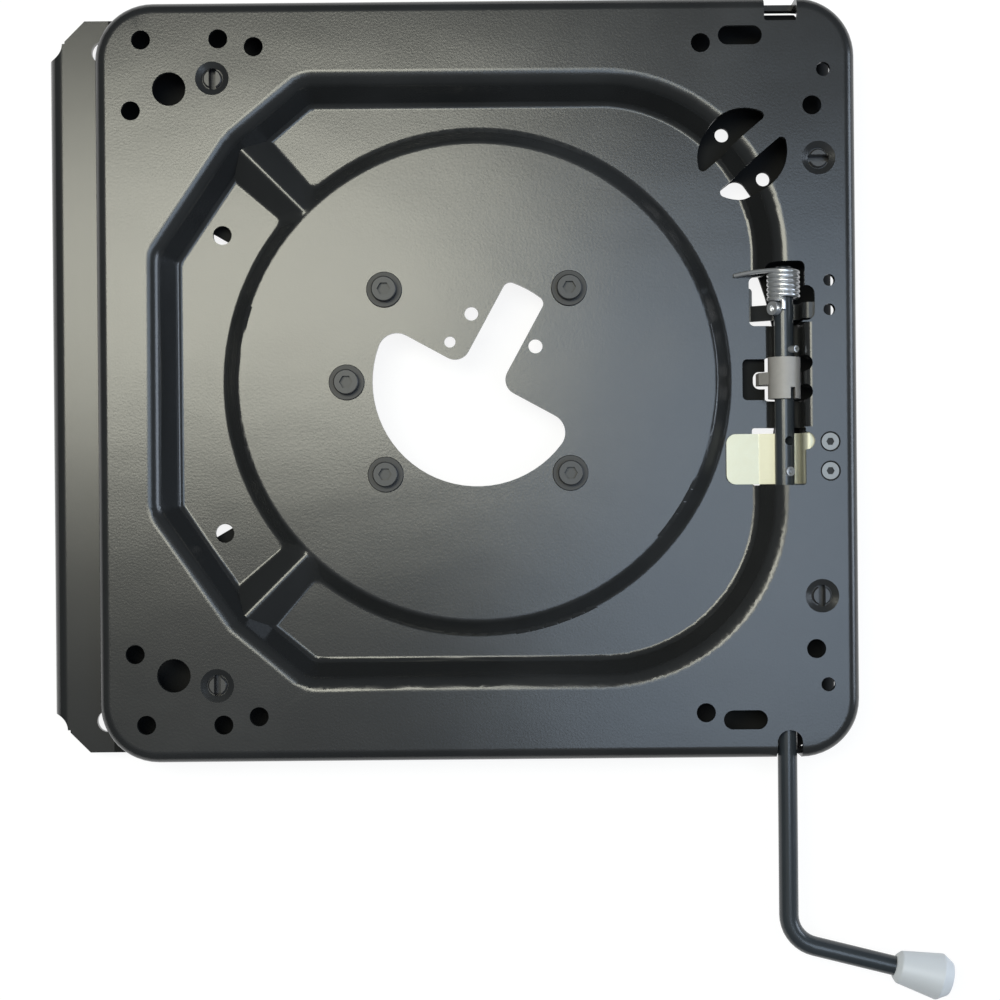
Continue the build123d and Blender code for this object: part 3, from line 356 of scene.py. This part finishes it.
def plastic(name, colour, roughness, pitted=0.15):
    """Moulded plastic with fine pits and a faint cloud of tone."""
    finish = Finish(name)
    where = finish.place()
    pits = finish.noise(where, 1500.0, 2.0)
    cloud = finish.noise(where, 60.0, 3.0)
    shade = tuple(c * 0.93 for c in colour)
    finish.set(
        Base_Color=finish.mix(cloud, shade, colour),
        Roughness=roughness + 0.05 * pits,
        Metallic=0.0,
        Normal=finish.bump(pits, pitted, 0.0001),
    )
    return finish.material


# Sizes and colours that a user would change


class SeatBaseSettings(bpy.types.PropertyGroup):
    paint_colour: FloatVectorProperty(
        name="Paint colour", description="Black coat of the pressed plates and the rod",
        subtype="COLOR", size=3, min=0, max=1, default=(0.020, 0.021, 0.022))
    paint_roughness: FloatProperty(
        name="Paint roughness", description="How much the black coat blurs its reflections",
        min=0, max=1, default=0.20)
    zinc_colour: FloatVectorProperty(
        name="Zinc colour", description="Bright plating of the spring and the small fixings",
        subtype="COLOR", size=3, min=0, max=1, default=(0.86, 0.87, 0.89))
    yellow_zinc_colour: FloatVectorProperty(
        name="Yellow zinc colour", description="Passivated plating of the lower rod bracket",
        subtype="COLOR", size=3, min=0, max=1, default=(0.70, 0.69, 0.55))
    sleeve_colour: FloatVectorProperty(
        name="Sleeve colour", description="Sintered metal of the lock sleeve",
        subtype="COLOR", size=3, min=0, max=1, default=(0.45, 0.43, 0.41))
    knob_colour: FloatVectorProperty(
        name="Knob colour", description="Light grey plastic of the lever's knob",
        subtype="COLOR", size=3, min=0, max=1, default=(0.70, 0.72, 0.75))


class StageSettings(bpy.types.PropertyGroup):
    floor_size: FloatProperty(
        name="Floor size", description="Side of the white floor", unit="LENGTH", default=8.0)
    floor_level: FloatProperty(
        name="Floor level", description="Height of the floor's surface", unit="LENGTH", default=0.0)
    camera_height: FloatProperty(
        name="Camera height", description="Height of the camera above the floor",
        unit="LENGTH", default=0.998)
    lens: FloatProperty(name="Lens", description="Focal length in millimetres", default=66.9)


def settings(context):
    return context.scene.seat_base


# Operators


class SEATBASE_OT_turntable(bpy.types.Operator):
    """Paint the turntable's pressing and its bearing rings"""
    bl_idname = "seatbase.turntable"
    bl_label = "Turntable"

    def execute(self, context):
        s = settings(context)
        paint = black_paint("Black coat", tuple(s.paint_colour), s.paint_roughness, 1.0)
        smooth_copy("top_plate", PLATE_CREASE, paint)
        dress(paint, "hub_spacer", "retaining_ring")
        dress(black_paint("Bracket coat", BRACKET_BLACK, 0.34, 1.3), "upper_bracket")
        slide = plastic("Slide ring plastic", SLIDE_RING_GREY, 0.45)
        dress(slide, "upper_slide_ring", "lower_slide_ring")
        return {"FINISHED"}


class SEATBASE_OT_fixed_plate(bpy.types.Operator):
    """Paint the fixed lower plate"""
    bl_idname = "seatbase.fixed_plate"
    bl_label = "Fixed plate"

    def execute(self, context):
        s = settings(context)
        gloss = s.paint_roughness + 0.03
        paint = shaded_paint("Black coat of the base", tuple(s.paint_colour), gloss)
        smooth_copy("base_plate", BASE_CREASE, paint)
        dress(paint, "bearing_ring")
        return {"FINISHED"}


class SEATBASE_OT_fixings(bpy.types.Operator):
    """Finish the screws, washers, nuts and glide buttons"""
    bl_idname = "seatbase.fixings"
    bl_label = "Fixings and glides"

    def execute(self, context):
        s = settings(context)
        dress(black_paint("Black screws", SCREW_BLACK, 0.42, 1.6), "centre_bolts")
        dress(black_paint("Black washers", WASHER_BLACK, 0.46, 1.6), "centre_washers")
        zinc = plated("Bright zinc", tuple(s.zinc_colour), 0.22)
        dress(zinc, "centre_nuts", "bracket_nuts")
        dress(socket_screw("Flange screws", WORN_STEEL, 0.40), "bracket_screws")
        glides = ["glide_button_%d" % i for i in (1, 2, 3, 4)]
        dress(plastic("Glide plastic", GLIDE_BLACK, 0.32), *glides)
        return {"FINISHED"}


class SEATBASE_OT_lock(bpy.types.Operator):
    """Finish the lever, the lock sleeve, the spring and the brackets"""
    bl_idname = "seatbase.lock"
    bl_label = "Lever and lock"

    def execute(self, context):
        s = settings(context)
        paint = black_paint("Rod coat", ROD_BLACK, 0.22, 1.3)
        smooth_copy("lever_rod", WIRE_CREASE, paint)
        zinc = plated("Spring zinc", tuple(s.zinc_colour), 0.24, 0.05, SPRING_METAL)
        smooth_copy("torsion_spring", WIRE_CREASE, zinc)
        dress(zinc, "stop_pin", "rod_pin", "spring_screw")
        yellow = plated("Yellow zinc", tuple(s.yellow_zinc_colour), 0.40, 0.08, BRACKET_METAL)
        dress(yellow, "lower_bracket")
        sleeve = plated("Sleeve metal", tuple(s.sleeve_colour), 0.55, 0.12, SLEEVE_METAL)
        dress(sleeve, "lock_sleeve")
        knob = plastic("Knob plastic", tuple(s.knob_colour), 0.42, 0.1)
        smooth_copy("lever_knob", KNOB_CREASE, knob)
        return {"FINISHED"}


def lamp(name, place, aim, size, power, colour):
    """Add a rectangular lamp that faces a point."""
    data = bpy.data.lights.new(name, "AREA")
    data.shape = "RECTANGLE"
    data.size, data.size_y = size
    data.energy = power
    data.color = colour
    made = bpy.data.objects.new(name, data)
    made.location = place
    made.rotation_mode = "QUATERNION"
    made.rotation_quaternion = (Vector(aim) - Vector(place)).to_track_quat("-Z", "Y")
    bpy.context.scene.collection.objects.link(made)


class SEATBASE_OT_stage(bpy.types.Operator):
    """Add the white floor, the lamps and the camera"""
    bl_idname = "seatbase.stage"
    bl_label = "Stage"

    def execute(self, context):
        s = context.scene.seat_base_stage
        scene = context.scene
        bm = bmesh.new()
        bmesh.ops.create_grid(bm, x_segments=1, y_segments=1, size=s.floor_size / 2)
        bmesh.ops.translate(bm, verts=bm.verts, vec=(0, 0, s.floor_level))
        mesh = bpy.data.meshes.new("Floor")
        bm.to_mesh(mesh)
        bm.free()
        floor = bpy.data.objects.new("Floor", mesh)
        scene.collection.objects.link(floor)
        finish = Finish("White floor")
        finish.set(Base_Color=FLOOR_WHITE, Roughness=0.9, Specular_IOR_Level=0.0)
        path = finish.nodes.new("ShaderNodeLightPath")
        rays = ("Is Camera Ray", "Is Glossy Ray", "Is Transmission Ray")
        seen = [Sock(finish, path.outputs[ray]) for ray in rays]
        glow = {"Color": (1.0, 1.0, 1.0), "Strength": FLOOR_GLOW}
        lit = finish.node("ShaderNodeEmission", {}, glow)
        mask = (seen[0] + seen[1] + seen[2]).clamp() * FLOOR_GLOW_SHARE
        mixed = finish.node("ShaderNodeMixShader", {}, {0: mask})
        finish.links.new(finish.shader.outputs[0], mixed.link.node.inputs[1])
        finish.links.new(lit.link, mixed.link.node.inputs[2])
        finish.links.new(mixed.link, finish.output.inputs[0])
        mesh.materials.append(finish.material)

        world = bpy.data.worlds.new("Studio")
        scene.world = world
        world.use_nodes = True
        background = world.node_tree.nodes["Background"]
        background.inputs[0].default_value = (*WORLD_COLOUR, 1.0)
        background.inputs[1].default_value = WORLD_STRENGTH
        for row in LAMPS:
            lamp(*row)

        camera = bpy.data.objects.new("Camera", bpy.data.cameras.new("Camera"))
        camera.location = (CAMERA_X, CAMERA_Y, s.camera_height)
        camera.rotation_euler = (0.0, 0.0, math.radians(CAMERA_TURN))
        camera.data.lens = s.lens
        camera.data.sensor_width = SENSOR_WIDTH
        camera.data.clip_start = 0.05
        scene.collection.objects.link(camera)
        scene.camera = camera
        scene.view_settings.view_transform = "Standard"
        return {"FINISHED"}


class SEATBASE_PT_panel(bpy.types.Panel):
    """Lists the pieces of the seat base"""
    bl_label = "Seat base"
    bl_idname = "SEATBASE_PT_panel"
    bl_space_type = "VIEW_3D"
    bl_region_type = "UI"
    bl_category = "Seat Base"

    def draw(self, context):
        for operator in PIECES:
            self.layout.operator(operator.bl_idname)
        for group in (settings(context), context.scene.seat_base_stage):
            for name in group.__annotations__:
                self.layout.prop(group, name)


PIECES = (
    SEATBASE_OT_turntable,
    SEATBASE_OT_fixed_plate,
    SEATBASE_OT_fixings,
    SEATBASE_OT_lock,
    SEATBASE_OT_stage,
)
CLASSES = (SeatBaseSettings, StageSettings, *PIECES, SEATBASE_PT_panel)


def register():
    for cls in CLASSES:
        bpy.utils.register_class(cls)
    bpy.types.Scene.seat_base = bpy.props.PointerProperty(type=SeatBaseSettings)
    bpy.types.Scene.seat_base_stage = bpy.props.PointerProperty(type=StageSettings)


def unregister():
    del bpy.types.Scene.seat_base_stage
    del bpy.types.Scene.seat_base
    for cls in reversed(CLASSES):
        bpy.utils.unregister_class(cls)


def main():
    register()
    bpy.ops.seatbase.turntable()
    bpy.ops.seatbase.fixed_plate()
    bpy.ops.seatbase.fixings()
    bpy.ops.seatbase.lock()
    bpy.ops.seatbase.stage()


if __name__ == "__main__":
    main()
